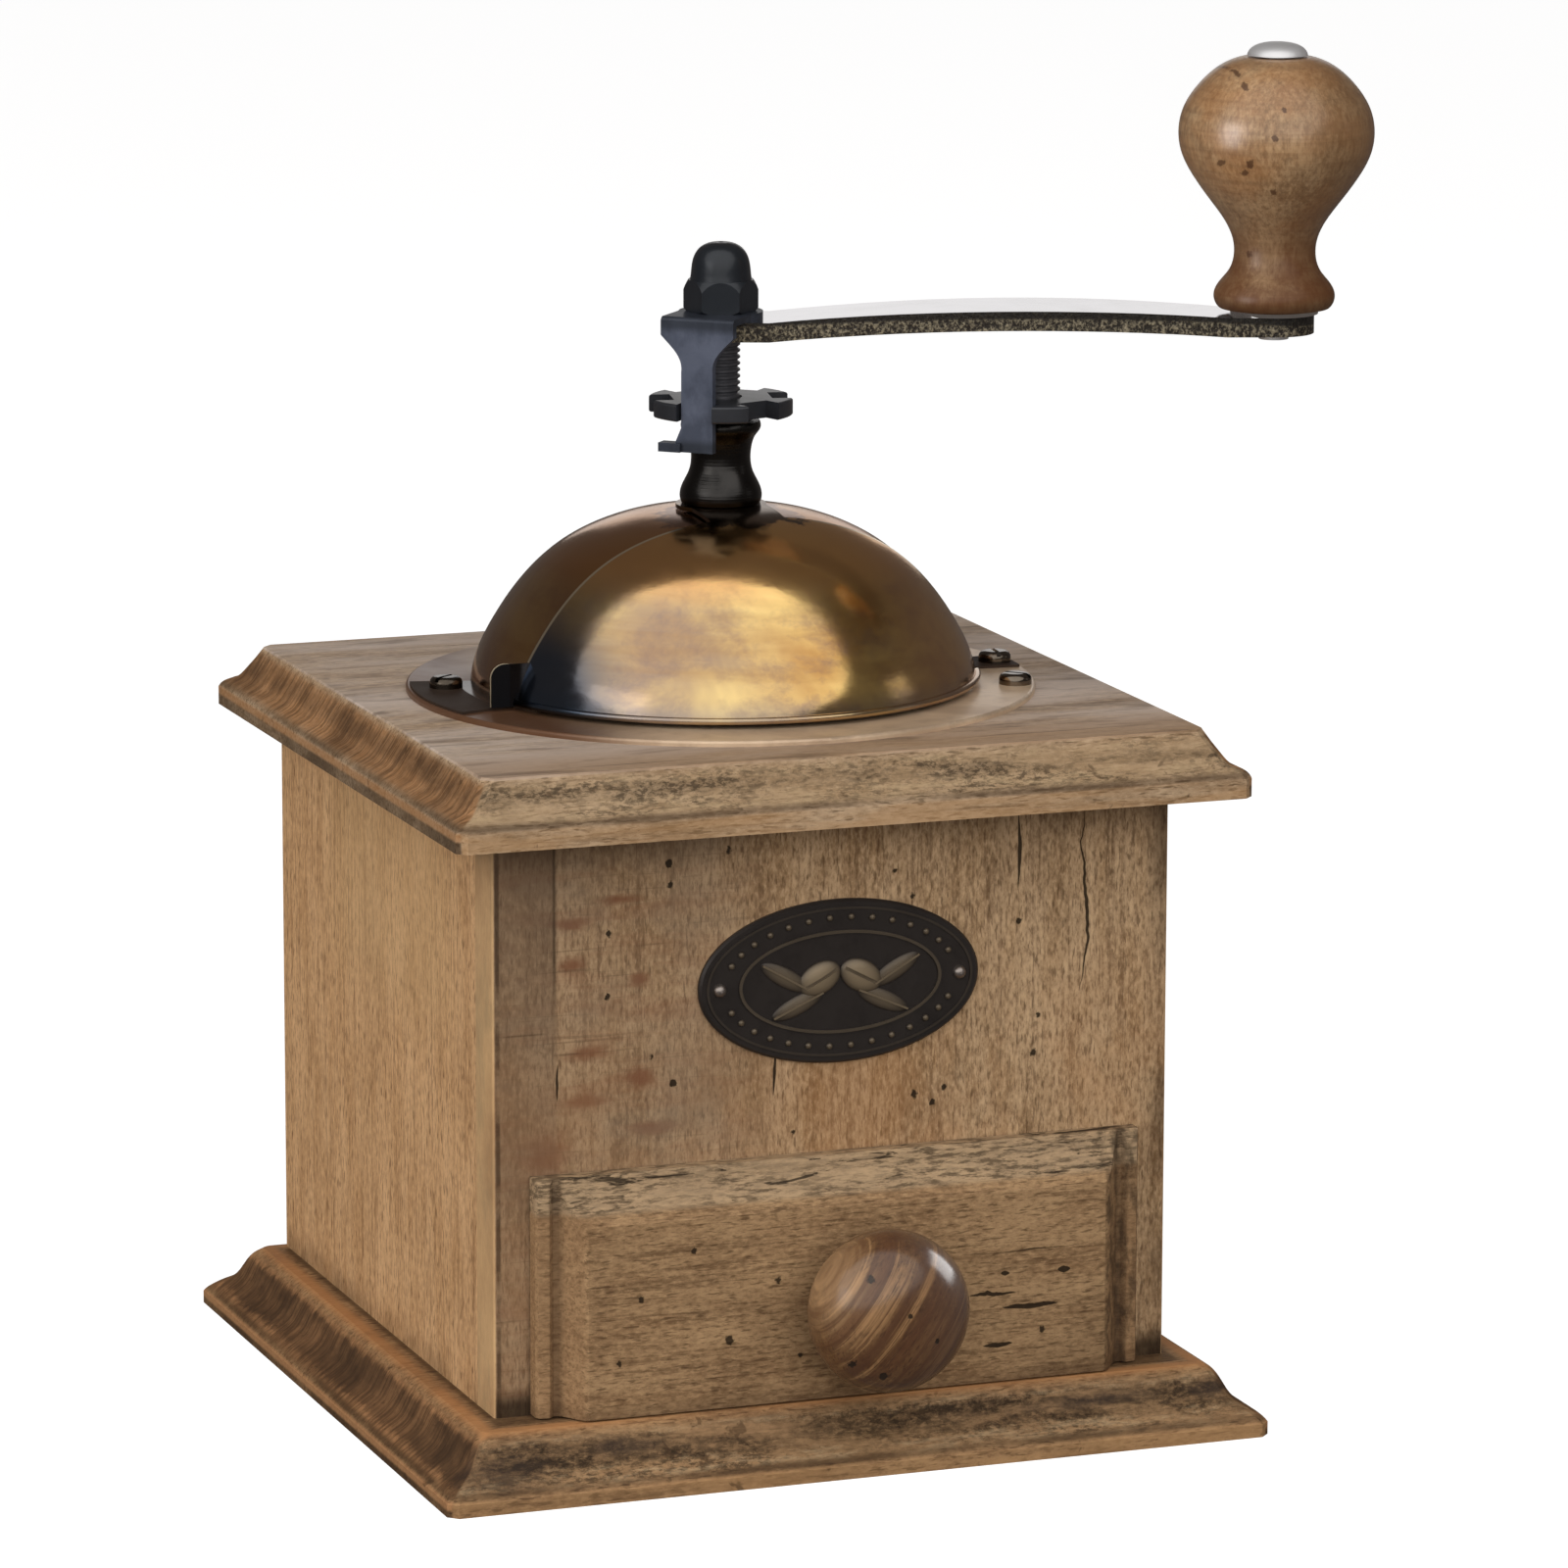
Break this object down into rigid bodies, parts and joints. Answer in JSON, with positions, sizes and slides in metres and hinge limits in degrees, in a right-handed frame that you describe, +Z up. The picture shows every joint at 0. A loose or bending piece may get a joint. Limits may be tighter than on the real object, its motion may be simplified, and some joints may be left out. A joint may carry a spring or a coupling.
{
  "type": "hand crank coffee grinder",
  "caption": "Box coffee grinder in wood with a hand crank on top, a domed bean hopper with a turning door, and a drawer for the ground coffee.",
  "frame": {"origin": "centre of the square base's underside, where the grinder rests", "axes": "+Z up along the crank shaft, -Y out of the drawer front, +X to the right seen from the drawer's side"},
  "size_m": [0.1608, 0.144, 0.2096],
  "materials": {
    "wood_base": "waxed, distressed",
    "wood_side": "waxed, distressed",
    "wood_front": "waxed, distressed",
    "wood_top": "waxed, distressed",
    "wood_drawer": "waxed, distressed",
    "wood_inner": "plain",
    "wood_knob": "varnished",
    "wood_grip": "varnished",
    "bronze_badge": "dark patina",
    "brass_nail": "dull",
    "brass_flange": "dull patina",
    "brass_dome": "antique patina",
    "brass_door": "antique patina",
    "brass_collar": "dark patina",
    "dark_screw": "blackened",
    "steel_screw": "zinc",
    "steel_bowl": "pressed sheet",
    "iron_bridge": "oiled",
    "iron_housing": "oiled",
    "bronze_bush": "machined",
    "steel_burr": "hardened",
    "blued_rod": "blued",
    "steel_small": "plain",
    "chrome_arm": "plated",
    "chrome_washer": "plated",
    "steel_axle": "polished",
    "blued_bracket": "blued",
    "blued_nut": "blued",
    "blued_wheel": "blued"
  },
  "bodies": {
    "case": {"base_plinth": "wood_base", "left_wall": "wood_side", "right_wall": "wood_side", "back_wall": "wood_side", "front_wall": "wood_front", "top_plate": "wood_top", "drawer_guide_left": "wood_inner", "drawer_guide_right": "wood_inner", "top_batten_left": "wood_inner", "top_batten_right": "wood_inner", "base_screws": "steel_screw", "batten_screws": "steel_screw", "badge": "bronze_badge", "badge_nails": "brass_nail", "flange_ring": "brass_flange", "flange_screws": "dark_screw", "hopper_rim": "steel_bowl", "hopper_cone": "steel_bowl", "hopper_floor": "steel_bowl", "rear_dome": "brass_dome", "collar": "brass_collar", "bearing_bridge": "iron_bridge", "upper_bush": "bronze_bush", "burr_housing": "iron_housing", "housing_screws": "steel_screw", "ring_burr": "steel_burr", "lower_bridge": "iron_bridge", "lower_bridge_screws": "steel_screw", "lower_bush": "bronze_bush"},
    "crank": {"shaft": "blued_rod", "male_burr": "steel_burr", "burr_pin": "steel_small", "thrust_washer": "steel_small", "thrust_spring": "steel_small", "crank_arm": "chrome_arm", "lock_bracket": "blued_bracket", "cap_nut": "blued_nut", "grip_axle": "steel_axle", "grip_washer": "chrome_washer"},
    "adjuster": {"star_wheel": "blued_wheel"},
    "grip": {"grip_knob": "wood_grip"},
    "door": {"dome_door": "brass_door"},
    "drawer": {"drawer_front": "wood_drawer", "drawer_left_side": "wood_inner", "drawer_right_side": "wood_inner", "drawer_back": "wood_inner", "drawer_bottom": "wood_inner", "drawer_knob": "wood_knob", "drawer_knob_screw": "steel_screw"}
  },
  "joints": [
    {"name": "crank_spin", "type": "hinge", "parent": "case", "child": "crank", "pos_m": [0, 0, 0.165], "axis": [0, 0, 1], "continuous": true},
    {"name": "grip_spin", "type": "hinge", "parent": "crank", "child": "grip", "pos_m": [0.07977, -0.02935, 0.185], "axis": [0, 0, 1], "continuous": true},
    {"name": "wheel_turn", "type": "hinge", "parent": "case", "child": "adjuster", "pos_m": [0, 0, 0.153], "axis": [0, 0, 1], "continuous": true},
    {"name": "door_turn", "type": "hinge", "parent": "case", "child": "door", "pos_m": [0, 0, 0.115], "axis": [0, 0, 1], "range_deg": [0, 130]},
    {"name": "drawer_slide", "type": "slide", "parent": "case", "child": "drawer", "axis": [0, -1, 0], "range_m": [0, 0.07]}
  ],
  "couplings": [
    {"joint": "wheel_turn", "follows": "crank_spin", "ratio": 1}
  ]
}
